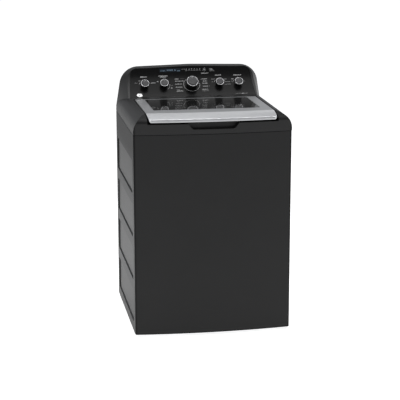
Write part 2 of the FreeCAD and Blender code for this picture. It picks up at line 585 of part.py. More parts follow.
def console():
    cover_top, _ = cover_outer()
    body = console_solid(0).cut(face_drum(FACE_R))
    edges = [e for e in body.Edges if e.BoundBox.XLength > 300 and e.CenterOfMass.z > 1080]
    print("console valid", body.isValid(), "top edges", len(edges))
    hollow = console_solid(MOULD).cut(face_drum(FACE_R + MOULD + FASCIA_T))
    lift = cover_top.copy()
    lift.translate(V(0, 0, 0.3))
    shell = body.cut(hollow)
    back_open = prism_xz([(-300, 960), (-280, 1090, 40), (280, 1090, 40), (300, 960)], BACK_Y - 20, BACK_Y + 5)
    shell = shell.cut(back_open).cut(lift)
    fascia_zone = prism_xz(fascia_outline(0.2), 100, BACK_Y)
    recess = face_drum(FACE_R + FASCIA_T).common(fascia_zone)
    openings = prism_xz([(-284, 980), (-271, 1091, 24), (0, 1098, 900), (271, 1091, 24), (284, 980)],
                        100, BACK_Y - 5)
    shell = shell.cut(recess).cut(openings.common(face_drum(FACE_R + 12)))
    shell = shell.common(box(-400, 400, 100, BACK_Y, 880, 1200))
    keep("console_housing", biggest(shell.removeSplitter()))
    fascia = face_drum(FACE_R + FASCIA_T - 0.1).cut(face_drum(FACE_R)).common(
        prism_xz(fascia_outline(-0.2), 100, BACK_Y)).cut(lift)
    for x in list(SMALL_KNOBS.values()) + [0.0]:
        fascia = fascia.cut(along_face(cyl(7, -20, 20), x))
    for name, x, z, shape in button_shapes(0.35):
        fascia = fascia.cut(on_face(shape, x, z))
    fascia = fascia.cut(on_face(box(*DISPLAY_HALF, -8, 8), DISPLAY_X, DISPLAY_Z))
    keep("console_fascia", biggest(fascia))
    window = on_face(box(-DISPLAY_W / 2 + 0.3, DISPLAY_W / 2 - 0.3, -DISPLAY_H / 2 + 0.3,
                         DISPLAY_H / 2 - 0.3, -2.3, -0.3), DISPLAY_X, DISPLAY_Z)
    keep("display_window", window)
    rear = prism_xz([(-295.5, 980.5), (-279, 1088, 55), (279, 1088, 55), (295.5, 980.5)], BACK_Y - 1.5,
                    BACK_Y - 0.3)
    keep("console_rear_cover", rear)


DISPLAY_X, DISPLAY_Z, DISPLAY_W, DISPLAY_H = -95.0, 1086.0, 98.0, 17.0
DISPLAY_HALF = (-DISPLAY_W / 2, DISPLAY_W / 2, -DISPLAY_H / 2, DISPLAY_H / 2)


def biggest(shape):
    return max(shape.Solids, key=lambda s: s.Volume)


def button_shapes(grow):
    """Press buttons of the console, each built on the Z axis: name, x, height, solid."""
    round_one = cyl(6.5 + grow, -6, 2.0)
    w, h, r = 9.0 + grow, 2.3 + grow, 2.2
    pill = prism_xy([(-w, -h, r), (w, -h, r), (w, h, r), (-w, h, r)], -6, 1.6)
    return [("start_pause_button", 65.0, 1084.1, round_one), ("deep_fill_button", 101.0, 1083.1, pill)]


def buttons():
    for name, x, z, shape in button_shapes(0):
        keep(name, on_face(shape, x, z))


def knob(name, x, r_cap, r_base, height):
    """Knob with a tapered skirt and a bright ring; its stem goes into the encoder."""
    clear = 1.0 + r_base ** 2 / (2 * FACE_R)
    body = Part.makeCone(r_base, r_cap - 1.2, height - clear - 4, V(0, 0, clear), Z_AXIS)
    body = body.fuse(cyl(r_cap - 3.2, height - 5, height))
    stem = cyl(3.0, -16, clear + 2)
    bright = ring(r_cap, r_cap - 3.1, height - 3.9, height + 0.4)
    keep(name, along_face(fuse(body, stem), x), along_face(bright, x))


def console_inside():
    knob("cycle_knob", 0.0, 27.0, 25.0, 32.0)
    for name, x in SMALL_KNOBS.items():
        knob(name, x, 19.2, 16.0, 24.0)
    encoders = []
    for x in list(SMALL_KNOBS.values()) + [0.0]:
        case = box(-9, 9, -9, 9, -20, -9).fuse(cyl(5.0, -9.5, -3))
        encoders.append(along_face(case.cut(cyl(3.05, -17, 0)), x))
    keep("selector_encoders", *encoders)
    main = box(-240, 240, -22, 22, -22, -20.2)
    fitted = [box(-200, -120, -14, 14, -30, -21.5), box(60, 100, -12, 12, -34, -21.5),
              cyl(9, -34, -21.5, 160, 0)]
    for x in (-175, -65, 65, 175):
        fitted.append(cyl(3, -20.5, -2.4, x, 18))
        fitted.append(cyl(3, -20.5, -2.4, x, -18))
    upper = box(-142, 122, -9, 9, -14, -12.4)
    studs = [cyl(2.5, -12.6, -2.8, x, 0) for x in (-140, -30, 40, 120)]
    switches = [cyl(3, -12.6, -8.6, x, 0) for _, x, _, _ in button_shapes(0)]
    keep("control_board", along_face(fuse(main, *fitted)), on_face(fuse(upper, *studs, *switches), 0, 1085))


# ---- water and drain ---------------------------------------------------------------
def inlet_valve():
    solids = []
    for x in VALVE_PORTS:
        port = Part.makeCylinder(13.3, 18, V(x, BACK_Y + PORT_OVERHANG - 18, VALVE_Z), Y_AXIS)
        neck = Part.makeCylinder(11, 40, V(x, BACK_Y - 38, VALVE_Z), Y_AXIS)
        coil = Part.makeCylinder(15, 30, V(x, BACK_Y - 46, VALVE_Z - 26), Z_AXIS)
        solids.append(port.fuse(neck).fuse(coil))
    body = fuse(solids[0], solids[1], box(VALVE_PORTS[0], VALVE_PORTS[1], BACK_Y - 56, BACK_Y - 40,
                                          VALVE_Z - 9, VALVE_Z + 9))
    for x in VALVE_PORTS:
        body = body.cut(Part.makeCylinder(9.0, 30, V(x, BACK_Y + PORT_OVERHANG - 22, VALVE_Z), Y_AXIS))
    plate = box(VALVE_PORTS[0] - 28, VALVE_PORTS[1] + 28, BACK_Y - MOULD - 2.2, BACK_Y - MOULD - 0.2,
                VALVE_Z - 24, VALVE_Z + 24)
    mid = (VALVE_PORTS[0] + VALVE_PORTS[1]) / 2
    spout = Part.makeCylinder(9, 14, V(mid, BACK_Y - 70, VALVE_Z), Y_AXIS)
    keep("water_inlet_valve", fuse(body, plate, spout))
    route = [(mid, BACK_Y - 70.3, VALVE_Z), (mid, 205, VALVE_Z), (NOZZLE_X - 40, 160, VALVE_Z),
             (NOZZLE_X, 160, VALVE_Z), (NOZZLE_X, 128.3, VALVE_Z)]
    route = [route[0], (mid, 190, VALVE_Z), (NOZZLE_X, 150, VALVE_Z), (NOZZLE_X, 124.3, VALVE_Z)]
    keep("fill_hose", tube_path(route, 8.5, 6.0, 14.0))
    body = box(NOZZLE_X - 25, NOZZLE_X + 25, MOUTH_BACK_Y + 3.5, MOUTH_BACK_Y + 24, 922, 938)
    lip = box(NOZZLE_X - 24, NOZZLE_X + 24, MOUTH_BACK_Y - 2, MOUTH_BACK_Y + 4, 923, 937)
    slot = box(NOZZLE_X - 21, NOZZLE_X + 21, MOUTH_BACK_Y - 5, MOUTH_BACK_Y + 20, 926, 934)
    keep("fill_nozzle", fuse(body, lip).cut(slot))


SUMP_X, SUMP_Y, PUMP_Z = -150.0, -150.0, 46.0


def drain():
    top_z, low_z = TUB_BOTTOM_Z - 20.5, 124.0
    folds = 14
    pitch = (top_z - low_z) / folds
    bellows = [ring(17.5, 14, low_z, top_z, SUMP_X, SUMP_Y)]
    for k in range(folds):
        z = low_z + k * pitch
        bellows.append(ring(21, 15, z, z + pitch * 0.6, SUMP_X, SUMP_Y))
    keep("sump_bellows", fuse(*bellows))
    pump = fuse(cyl(45, PUMP_Z, 92, SUMP_X, SUMP_Y), cyl(16, 92, 123.7, SUMP_X, SUMP_Y),
                Part.makeCylinder(32, 80, V(SUMP_X, SUMP_Y, 69 + 6), X_AXIS),
                Part.makeCylinder(11, 62, V(SUMP_X - 60, SUMP_Y - 20, 68), X_AXIS),
                box(SUMP_X - 50, SUMP_X + 70, SUMP_Y - 40, SUMP_Y + 40, PUMP_Z - 4, PUMP_Z + 1))
    y0 = BASE_FRONT_Y + BASE_WIDE
    tray = box(SUMP_X - 45, SUMP_X + 55, y0, SUMP_Y + 40, PUMP_Z - 4, PUMP_Z - 2)
    keep("drain_pump", fuse(pump, tray, box(SUMP_X - 45, SUMP_X + 55, y0, y0 + 2, 22, PUMP_Z - 2)))
    x0 = SUMP_X - 60.3
    hose = tube_path([(x0, SUMP_Y - 20, 68), (x0 - 66, SUMP_Y - 20, 68), (x0 - 66, 268, 68),
                      (DRAIN_X, 292, 110), (DRAIN_X, 292, DRAIN_Z - 14.5)], 13, 10, 34)
    keep("drain_hose", hose)
    y = 292.0
    elbow = fuse(cyl(15, DRAIN_Z - 26, DRAIN_Z + 4, DRAIN_X, y),
                 Part.makeCylinder(15, BACK_Y + PORT_OVERHANG - y, V(DRAIN_X, y, DRAIN_Z), Y_AXIS),
                 box(DRAIN_X - 30, DRAIN_X + 30, BACK_Y + 0.2, BACK_Y + 2.2, DRAIN_Z - 30, DRAIN_Z + 30))
    elbow = elbow.fuse(Part.makeSphere(15, V(DRAIN_X, y, DRAIN_Z)))
    elbow = elbow.cut(cyl(10, DRAIN_Z - 40, DRAIN_Z, DRAIN_X, y))
    elbow = elbow.cut(Part.makeCylinder(10, 80, V(DRAIN_X, y, DRAIN_Z), Y_AXIS))
    elbow = elbow.cut(Part.makeSphere(10, V(DRAIN_X, y, DRAIN_Z)))
    elbow = elbow.cut(cyl(13.4, DRAIN_Z - 40, DRAIN_Z - 14, DRAIN_X, y))
    keep("drain_outlet", elbow)
    gland = fuse(Part.makeCylinder(8.6, 8.3, V(CORD_X, BACK_Y - 8, CORD_Z), Y_AXIS),
                 box(CORD_X - 14, CORD_X + 14, BACK_Y + 0.2, BACK_Y + 6, CORD_Z - 14, CORD_Z + 14))
    keep("cord_gland", gland.cut(Part.makeCylinder(4.5, 40, V(CORD_X, BACK_Y - 20, CORD_Z), Y_AXIS)))


# ---- tub, suspension and drive -----------------------------------------------------
def tub():
    y = TUB_Y
    floor_z = TUB_BOTTOM_Z + 5
    wall = fuse(ring(TUB_R, TUB_R - 4, floor_z, TUB_TOP_Z, 0, y),
                ring(TUB_R + 4, TUB_R - 1, TUB_TOP_Z - 8, TUB_TOP_Z, 0, y))
    for z in (420, 570, 720):
        wall = wall.fuse(ring(TUB_R + 3, TUB_R - 1, z, z + 5, 0, y))
    for sx in (-1, 1):
        for sy in (-1, 1):
            wall = wall.fuse(ear(sx, sy))
    bottom = fuse(cyl(TUB_R, TUB_BOTTOM_Z, floor_z, 0, y), cyl(52, TUB_BOTTOM_Z, TUB_BOTTOM_Z + 26, 0, y),
                  cyl(17, TUB_BOTTOM_Z - 20, TUB_BOTTOM_Z + 1, SUMP_X, SUMP_Y))
    bottom = bottom.cut(cyl(32, TUB_BOTTOM_Z - 5, TUB_BOTTOM_Z + 20, 0, y))
    bottom = bottom.cut(cyl(SPIN_TUBE_R + 1.5, 200, 400, 0, y)).cut(cyl(13, 200, floor_z + 5, SUMP_X, SUMP_Y))
    keep("outer_tub", wall.removeSplitter(), bottom)
    cover = ring(TUB_R + 4, BASKET_R - 30, TUB_TOP_Z + 0.2, TUB_TOP_Z + 4, 0, y)
    lip = ring(TUB_R - 4.5, TUB_R - 8, TUB_TOP_Z - 8, TUB_TOP_Z + 1, 0, y)
    inner = ring(BASKET_R - 26, BASKET_R - 30, TUB_TOP_Z - 6, TUB_TOP_Z + 4, 0, y)
    keep("tub_cover_ring", fuse(cover, lip, inner))


EAR_Z0, EAR_Z1 = 353.0, 367.0


def ear(sx, sy):
    """Bracket on the tub wall that sits on a suspension spring."""
    x, y = sx * ROD_X, sy * ROD_Y
    pad_top = cyl(24, EAR_Z0, EAR_Z1, x, y)
    length = math.hypot(x, y - TUB_Y)
    start = TUB_R - 2.0
    arm = Part.makeBox(length - start, 34, EAR_Z1 - EAR_Z0, V(start, -17, EAR_Z0))
    arm.rotate(V(0, 0, 0), Z_AXIS, math.degrees(math.atan2(y - TUB_Y, x)))
    arm.translate(V(0, TUB_Y, 0))
    return arm.fuse(pad_top).cut(cyl(ROD_R + 2.5, 300, 400, x, y))


def suspension():
    rods, caps, brackets, springs = [], [], [], []
    top_z = 858.0
    for sx in (-1, 1):
        for sy in (-1, 1):
            x, y = sx * ROD_X, sy * ROD_Y
            rods.append(fuse(cyl(ROD_R, SPRING_BOTTOM_Z - 12, top_z + 8, x, y),
                             Part.makeSphere(9, V(x, y, top_z + 10)).common(box(x - 20, x + 20, y - 20, y + 20,
                                                                              top_z + 4.2, top_z + 30))))
            caps.append(ring(20, ROD_R + 0.05, SPRING_BOTTOM_Z - 8, SPRING_BOTTOM_Z - 0.6, x, y))
            springs.append(ring(18, 13.5, SPRING_BOTTOM_Z, SPRING_TOP_Z, x, y))
            edge = HALF_W - SHEET - 6.6
            plate = box(min(x - sx * 20, sx * edge), max(x - sx * 20, sx * edge), y - 20, y + 20, top_z, top_z + 4)
            web = box(min(sx * (edge - 2), sx * edge), max(sx * (edge - 2), sx * edge), y - 20, y + 20,
                      top_z - 40, top_z + 4)
            brackets.append(fuse(plate, web).cut(cyl(ROD_R + 1.5, 700, 900, x, y)))
    keep("suspension_rods", *rods)
    keep("suspension_end_caps", *caps)
    keep("suspension_springs", *springs)
    keep("suspension_brackets", *brackets)


def drive():
    y = TUB_Y
    z = PLATFORM_Z
    plate = prism_xy([(-110, y - 90, 20), (MOTOR_X + 80, y - 90, 20), (MOTOR_X + 80, y + 90, 20),
                      (-110, y + 90, 20)], z, z + 4)
    lip = box(-100, MOTOR_X + 70, y - 90, y - 87, z - 16, z + 1).fuse(
        box(-100, MOTOR_X + 70, y + 87, y + 90, z - 16, z + 1))
    plate = plate.fuse(lip).cut(cyl(24, z - 30, z + 30, 0, y)).cut(cyl(8, z - 30, z + 30, MOTOR_X, y))
    keep("drive_platform", plate.removeSplitter())
    case = fuse(cyl(62, 206, z - 0.2, 0, y), cyl(74, z - 12, z - 0.2, 0, y), cyl(30, 188, 207, 0, y))
    case = case.cut(cyl(20, z - 40, z + 5, 0, y)).cut(cyl(7.6, 150, z - 30, 0, y))
    keep("gearcase", case)
    keep("tub_bearings", ring(31.8, SPIN_TUBE_R + 0.05, TUB_BOTTOM_Z + 1, TUB_BOTTOM_Z + 17, 0, y),
         ring(19.9, SPIN_TUBE_R + 0.05, z - 18, z - 4, 0, y))
    motor = fuse(cyl(68, 196, 268, MOTOR_X, y), cyl(40, 186, 197, MOTOR_X, y), cyl(44, 267, z - 0.2, MOTOR_X, y))
    motor = motor.cut(cyl(6.1, 150, 240, MOTOR_X, y))
    keep("drive_motor", motor)
    shifter = fuse(box(-108, -78, y - 30, y + 20, 222, 256), box(-106, -80, y - 20, y + 10, 255, z),
                   box(-79, -62.3, y - 4, y + 4, 232, 240))
    keep("mode_shifter", shifter)
    drive_belt()


def pulley(x, r, shaft_r, top):
    """Grooved pulley with its own shaft reaching up into the case."""
    y = TUB_Y
    wheel = fuse(cyl(r, BELT_Z - 6, BELT_Z + 6, x, y), cyl(r + 3, BELT_Z - 8, BELT_Z - 6, x, y),
                 cyl(r + 3, BELT_Z + 6, BELT_Z + 8, x, y))
    if r > 40:
        hollow = ring(r - 12, 20, BELT_Z - 9, BELT_Z - 3, x, y)
        wheel = wheel.cut(hollow)
        for k in range(5):
            a = math.radians(72 * k)
            wheel = wheel.cut(cyl(11, 100, 200, x + 42 * math.cos(a), y + 42 * math.sin(a)))
    return fuse(wheel, cyl(shaft_r, BELT_Z + 7, top, x, y))


def drive_belt():
    keep("gearcase_pulley", pulley(0, BIG_PULLEY_R, 7.5, 248))
    keep("motor_pulley", pulley(MOTOR_X, MOTOR_PULLEY_R, 6.0, 236))

    def belt_outline(extra):
        a, b, d = BIG_PULLEY_R + extra, MOTOR_PULLEY_R + extra, MOTOR_X
        lean = math.asin((a - b) / d)
        y = TUB_Y

        def spot(x, r, angle):
            return V(x + r * math.cos(angle), y + r * math.sin(angle), BELT_Z - 5)
        up, down = math.pi / 2 - lean, -math.pi / 2 + lean
        edges = [Part.LineSegment(spot(0, a, up), spot(d, b, up)).toShape(),
                 Part.Arc(spot(d, b, up), spot(d, b, 0), spot(d, b, down)).toShape(),
                 Part.LineSegment(spot(d, b, down), spot(0, a, down)).toShape(),
                 Part.Arc(spot(0, a, down), spot(0, a, math.pi), spot(0, a, up)).toShape()]
        return Part.Face(Part.Wire(edges)).extrude(V(0, 0, 10))
    keep("drive_belt", belt_outline(4.6).cut(belt_outline(0.4)))


def basket():
    y = TUB_Y
    zb, zt = BASKET_BOTTOM_Z, BASKET_TOP_Z
    r = BASKET_R
    wall = ring(r, r - BASKET_T, zb + 6, zt - 46, 0, y)
    keep("wash_basket", wall)
    base = fuse(cyl(r - 5, zb, zb + 5, 0, y), ring(r + 2, r - BASKET_T - 12, zb, zb + 5.8, 0, y),
                ring(r - BASKET_T - 0.3, r - 10, zb, zb + 30, 0, y), cyl(60, zb - 10, zb + 1, 0, y))
    for k in range(12):
        rib = Part.makeBox(r - 75, 4, 9, V(62, -2, zb - 9))
        rib.rotate(V(0, 0, 0), Z_AXIS, 30 * k)
        rib.translate(V(0, y, 0))
        base = base.fuse(rib)
    base = base.cut(cyl(SPIN_TUBE_R + 0.3, 0, 900, 0, y))
    keep("basket_base", base.removeSplitter())
    balance = ring(r + 4, r - 34, zt - 40, zt, 0, y)
    skirt = ring(r - BASKET_T - 0.3, r - 8, zt - 62, zt - 39, 0, y)
    outer_edge = [e for e in balance.Edges if abs(e.BoundBox.ZMax - zt) < 0.01 and e.BoundBox.ZLength < 0.01]
    keep("balance_ring", fuse(balance.makeFillet(8, outer_edge), skirt, ring(r + 4, r + 0.3, zt - 60, zt - 39, 0, y)))
    tube = ring(SPIN_TUBE_R, AGITATOR_SHAFT_R + 0.05, 262, zb + 9, 0, y)
    keep("spin_tube", tube)


IMPELLER_R = 190.0
IMPELLER_Z = BASKET_BOTTOM_Z + 9.0


def dish(lift, low):
    """Solid of revolution under the agitator plate's surface, lifted a little; flat below at low."""
    z = IMPELLER_Z + lift
    y = TUB_Y
    edge = IMPELLER_R - 5 + lift
    edges = [Part.LineSegment(V(0, y, low), V(edge, y, low)).toShape(),
             Part.LineSegment(V(edge, y, low), V(edge, y, z + 6)).toShape(),
             Part.Arc(V(edge, y, z + 6), V(118, y, z + 16), V(58, y, z + 42)).toShape(),
             Part.LineSegment(V(58, y, z + 42), V(32, y, z + 53)).toShape(),
             Part.LineSegment(V(32, y, z + 53), V(0, y, z + 53)).toShape(),
             Part.LineSegment(V(0, y, z + 53), V(0, y, low)).toShape()]
    return Part.Face(Part.Wire(edges)).revolve(V(0, y, 0), Z_AXIS, 360)


def impeller():
    y, z = TUB_Y, IMPELLER_Z
    plate = dish(4.0, z).cut(dish(0.0, z - 5)).fuse(cyl(22, z + 3, z + 55, 0, y))
    inside = dish(2.0, z - 5)
    for k in range(6):
        fin = prism_xz([(44, z + 12), (IMPELLER_R - 9, z + 6), (IMPELLER_R - 12, z + 28, 8),
                        (110, z + 46, 40), (44, z + 56)], -6, 6)
        fin.rotate(V(0, 0, 0), Z_AXIS, 60 * k)
        fin.translate(V(0, y, 0))
        plate = plate.fuse(fin.cut(inside))
    plate = plate.cut(cyl(AGITATOR_SHAFT_R + 0.3, 0, z + 40, 0, y))
    keep("impeller", biggest(plate.removeSplitter()))
    dome = Part.makeSphere(60, V(0, y, z + 57.4 - 46))
    cap = dome.common(box(-80, 80, y - 80, y + 80, z + 57.4, z + 90)).common(cyl(32, 0, 900, 0, y))
    keep("impeller_cap", cap)
    keep("agitator_shaft", cyl(AGITATOR_SHAFT_R, 256, z + 40, 0, y))


def build():
    front_panel()
    left = left_side_panel()
    keep("left_side_panel", left)
    keep("right_side_panel", mirror_x(left))
    rear_panel()
    base_frame()
    feet()
    top_cover()
    lid()
    cover_fittings()
    console()
    console_inside()
    buttons()
    inlet_valve()
    drain()
    tub()
    suspension()
    drive()
    basket()
    impeller()


build()
os.makedirs("parts", exist_ok=True)
for old in os.listdir("parts"):
    if old.endswith(".step") and old[:-5] not in PARTS:
        os.remove(os.path.join("parts", old))
for piece, solids in PARTS.items():
    shape = solids[0] if len(solids) == 1 else Part.makeCompound(solids)
    bad = [s for s in solids if not s.isValid() or s.Volume <= 0]
    if bad:
        print("INVALID", piece, len(bad), "of", len(solids))
    shape.exportStep("parts/" + piece + ".step")
print(len(PARTS), "pieces,", sum(len(s) for s in PARTS.values()), "solids")
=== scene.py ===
import math
import random
import bpy
from mathutils import Matrix, Vector


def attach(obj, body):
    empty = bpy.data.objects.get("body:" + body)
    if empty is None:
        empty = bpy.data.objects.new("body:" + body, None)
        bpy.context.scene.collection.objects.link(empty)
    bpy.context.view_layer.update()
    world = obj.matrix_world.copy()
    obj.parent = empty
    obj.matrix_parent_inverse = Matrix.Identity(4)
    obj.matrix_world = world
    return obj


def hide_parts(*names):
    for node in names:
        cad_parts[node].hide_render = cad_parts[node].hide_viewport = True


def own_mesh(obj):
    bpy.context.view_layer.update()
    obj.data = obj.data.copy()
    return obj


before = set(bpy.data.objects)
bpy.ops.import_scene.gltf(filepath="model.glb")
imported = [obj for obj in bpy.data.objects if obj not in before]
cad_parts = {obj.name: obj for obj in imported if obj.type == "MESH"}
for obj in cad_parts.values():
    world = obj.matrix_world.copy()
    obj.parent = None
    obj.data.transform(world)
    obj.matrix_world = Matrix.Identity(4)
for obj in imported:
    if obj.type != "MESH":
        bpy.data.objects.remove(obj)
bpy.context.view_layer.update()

# ---- camera ------------------------------------------------------------------------
camera = bpy.data.objects.new("camera", bpy.data.cameras.new("camera"))
bpy.context.scene.collection.objects.link(camera)
camera.location = (-1.022, -5.921, 1.953)
camera.rotation_euler = (math.radians(76.67), math.radians(0.04), math.radians(-9.78))
camera.data.sensor_width = 36
camera.data.lens = 122.5
bpy.context.scene.camera = camera

# ---- dimensions shared with the CAD, in millimetres ----------------------------------
MM = 0.001
# The console face is a hollow curve: the inside of a cylinder along x, with its axis in front and above.
# LEAN is how far the face leans back at the knobs.
KNOB_Y, KNOB_Z = 235.7, 1022.5
FACE_R = 260.0
LEAN = math.radians(40)
CENTRE_Y = KNOB_Y - math.cos(LEAN) * FACE_R
CENTRE_Z = KNOB_Z + math.sin(LEAN) * FACE_R
# body: (the CAD knob it carries, x)
SMALL_KNOBS = {"temperature_selector": ("water_temperature_knob", -219.4),
               "soil_selector": ("soil_level_knob", -129.8),
               "options_selector": ("rinse_options_knob", 129.8),
               "softener_selector": ("softener_knob", 219.4)}
START_X, START_Z = 65.0, 1084.1
FILL_X, FILL_Z = 101.0, 1083.1
TUB_Y = -5.0

# ---- limits for the painted light and shade, in metres ---------------------------------
# The bowed front face is where y = FRONT_BOW * x * x - FRONT_Y.
FRONT_Y, FRONT_BOW = 0.3415, 0.17
# The sides' painted light starts at the first of these distances from the middle and is full at the second.
SIDE_X = (0.333, 0.340)
# The well around the lid, which gets a painted black shadow. Its front edge, the lip, starts a little lower
# than its walls.
WELL_HALF_WIDTH, WELL_BACK_Y = 0.2829, 0.1479
WELL_LOW_Z, WELL_TOP_Z = 0.9466, 0.9765
LIP_LOW_Z, LIP_DEPTH = 0.9412, 0.012
# The cover's sloping front ends, which get painted shade: how far back they reach beside the lid, and how
# fast that shrinks outwards.
SLOPE_X, SLOPE_DEPTH, SLOPE_TAPER = 0.2845, 0.080, 1.7
SLOPE_BLUR = 0.008
SLOPE_Z = (0.942, 0.958)
# The lid's front band, which gets a painted highlight: where it ends, and the stretch over which it gets
# brighter towards the back.
BAND_END = (0.0825, 0.0845)
BAND_RISE = (0.010, 0.075)
BAND_X = (-0.28, 0.28)


# ---- material helpers ------------------------------------------------------------------
def new_material(name, color, rough, metal=0.0, level=0.5):
    material = bpy.data.materials.new(name)
    material.use_nodes = True
    shader = material.node_tree.nodes["Principled BSDF"]
    shader.inputs["Base Color"].default_value = (*color, 1)
    shader.inputs["Roughness"].default_value = rough
    shader.inputs["Metallic"].default_value = metal
    shader.inputs["Specular IOR Level"].default_value = level
    return material, material.node_tree, shader


def maths(tree, kind, first, second=None):
    """A math node. Each value is a number or another node's output."""
    node = tree.nodes.new("ShaderNodeMath")
    node.operation = kind
    for socket, value in zip(node.inputs, (first, second)):
        if value is None:
            continue
        if isinstance(value, (int, float)):
            socket.default_value = value
        else:
            tree.links.new(value, socket)
    return node.outputs[0]


def product(tree, *factors):
    result = factors[0]
    for factor in factors[1:]:
        result = maths(tree, "MULTIPLY", result, factor)
    return result


def position(tree):
    """The three coordinates in the object's own space, which is the shared frame at rest."""
    coords = tree.nodes.new("ShaderNodeTexCoord")
    parts = tree.nodes.new("ShaderNodeSeparateXYZ")
    tree.links.new(coords.outputs["Object"], parts.inputs[0])
    return parts.outputs["X"], parts.outputs["Y"], parts.outputs["Z"]


def range_node(tree, value, from_min, from_max, to_min, to_max):
    """Maps one range of values to another, clamped at both ends."""
    node = tree.nodes.new("ShaderNodeMapRange")
    limits = {"From Min": from_min, "From Max": from_max, "To Min": to_min, "To Max": to_max}
    for label, number in limits.items():
        node.inputs[label].default_value = number
    tree.links.new(value, node.inputs["Value"])
    return node.outputs["Result"]


def noise_of(tree, scale, detail, stretch=(1, 1, 1)):
    coords = tree.nodes.new("ShaderNodeTexCoord")
    mapping = tree.nodes.new("ShaderNodeMapping")
    mapping.inputs["Scale"].default_value = stretch
    noise = tree.nodes.new("ShaderNodeTexNoise")
    noise.inputs["Scale"].default_value = scale
    noise.inputs["Detail"].default_value = detail
    tree.links.new(coords.outputs["Object"], mapping.inputs["Vector"])
    tree.links.new(mapping.outputs["Vector"], noise.inputs["Vector"])
    return noise.outputs["Fac"]


def spread(tree, noise, low, high):
    """Noise stays mostly between 0.3 and 0.7, so that part is mapped to the whole of low to high."""
    return range_node(tree, noise, 0.3, 0.7, low, high)


def two_tone(tree, shader, value, dark, light):
    ramp = tree.nodes.new("ShaderNodeValToRGB")
    for element, place, color in zip(ramp.color_ramp.elements, (0.35, 0.65), (dark, light)):
        element.position = place
        element.color = (*color, 1)
    tree.links.new(value, ramp.inputs["Fac"])
    tree.links.new(ramp.outputs["Color"], shader.inputs["Base Color"])


def bump(tree, shader, value, strength, distance):
    node = tree.nodes.new("ShaderNodeBump")
    node.inputs["Strength"].default_value = strength
    node.inputs["Distance"].default_value = distance
    tree.links.new(value, node.inputs["Height"])
    tree.links.new(node.outputs["Normal"], shader.inputs["Normal"])


def surface(name, dark, light, rough, metal=0.0, level=0.5, grain=900.0, depth=0.00003,
            stretch=(1, 1, 1), strength=0.25, tone_scale=6.0):
    """Slight tone change, roughness change and fine relief, all procedural."""
    material, tree, shader = new_material(name, light, rough[0], metal, level)
    two_tone(tree, shader, noise_of(tree, tone_scale, 3, stretch), dark, light)
    fine = noise_of(tree, grain, 3, stretch)
    tree.links.new(spread(tree, fine, rough[0], rough[1]), shader.inputs["Roughness"])
    bump(tree, shader, fine, strength, depth)
    return material


def retint(material, share, color):
    """Mixes the material's tone towards another one by a 0 to 1 share."""
    tree = material.node_tree
    socket = tree.nodes["Principled BSDF"].inputs["Base Color"]
    mix = tree.nodes.new("ShaderNodeMixRGB")
    tree.links.new(socket.links[0].from_socket, mix.inputs["Color1"])
    mix.inputs["Color2"].default_value = (*color, 1)
    tree.links.new(share, mix.inputs["Fac"])
    tree.links.new(mix.outputs["Color"], socket)


def dim(material, share):
    """Takes a 0 to 1 share away from the material's specular level."""
    tree = material.node_tree
    socket = tree.nodes["Principled BSDF"].inputs["Specular IOR Level"]
    before = socket.links[0].from_socket
    tree.links.new(maths(tree, "MULTIPLY", before, maths(tree, "SUBTRACT", 1.0, share)), socket)


def front_depth(tree, x, y):
    """Distance behind the bowed front face."""
    return maths(tree, "SUBTRACT", maths(tree, "ADD", y, FRONT_Y), product(tree, x, x, FRONT_BOW))


def paint_side_light(material, full, low, top, z_low, z_top):
    """Painted light and shade on the sides. Specular level: full on the front; on the sides it goes from low
    to top between two heights.
    """
    tree = material.node_tree
    x, _, z = position(tree)
    on_side = range_node(tree, maths(tree, "ABSOLUTE", x), *SIDE_X, 0.0, 1.0)
    change = range_node(tree, z, z_low, z_top, low - full, top - full)
    level = maths(tree, "ADD", product(tree, on_side, change), full)
    tree.links.new(level, tree.nodes["Principled BSDF"].inputs["Specular IOR Level"])


def paint_well_shadow(material):
    """Painted shadow: the walls of the well around the lid and its front edge are painted matt black, in
    place of the shadow in the gap.
    """
    tree = material.node_tree
    x, y, z = position(tree)
    depth = front_depth(tree, x, y)
    inside = product(tree, maths(tree, "LESS_THAN", maths(tree, "ABSOLUTE", x), WELL_HALF_WIDTH),
                     maths(tree, "LESS_THAN", y, WELL_BACK_Y))
    lip = product(tree, maths(tree, "GREATER_THAN", z, LIP_LOW_Z),
                  maths(tree, "LESS_THAN", depth, LIP_DEPTH))
    high = maths(tree, "MAXIMUM", lip, maths(tree, "GREATER_THAN", z, WELL_LOW_Z))
    share = product(tree, inside, high, maths(tree, "LESS_THAN", z, WELL_TOP_Z))
    # Painted shadow: near-black tone and less reflection in the well and on the lip.
    retint(material, share, (0.0012, 0.0012, 0.0012))
    dim(material, share)


def paint_slope_shade(material):
    """Painted shade: the sloping front ends of the cover, beside the lid, reflect less than its top does."""
    tree = material.node_tree
    x, y, z = position(tree)
    outwards = maths(tree, "SUBTRACT", maths(tree, "ABSOLUTE", x), SLOPE_X)
    limit = maths(tree, "SUBTRACT", SLOPE_DEPTH, product(tree, outwards, SLOPE_TAPER))
    past = maths(tree, "SUBTRACT", front_depth(tree, x, y), limit)
    before = range_node(tree, past, -SLOPE_BLUR, SLOPE_BLUR, 1.0, 0.0)
    high = range_node(tree, z, *SLOPE_Z, 0.0, 1.0)
    # Painted shade: less reflection on the sloping front ends.
    dim(material, product(tree, before, high, 0.74))


def paint_front_highlight(material):
    """Painted highlight: the lid's sloping front band is painted lighter, most of all at its back edge and to
    the right.
    """
    tree = material.node_tree
    x, y, _ = position(tree)
    depth = front_depth(tree, x, y)
    front = range_node(tree, depth, *BAND_END, 1.0, 0.0)
    rise = range_node(tree, depth, *BAND_RISE, 0.10, 1.0)
    across = range_node(tree, x, *BAND_X, 0.75, 1.0)
    # Painted highlight: a lighter tone on the band.
    retint(material, product(tree, front, across, rise), (0.80, 0.805, 0.815))


def grey(value):
    """A dark neutral with a trace of blue."""
    return (value, value, value * 1.02)


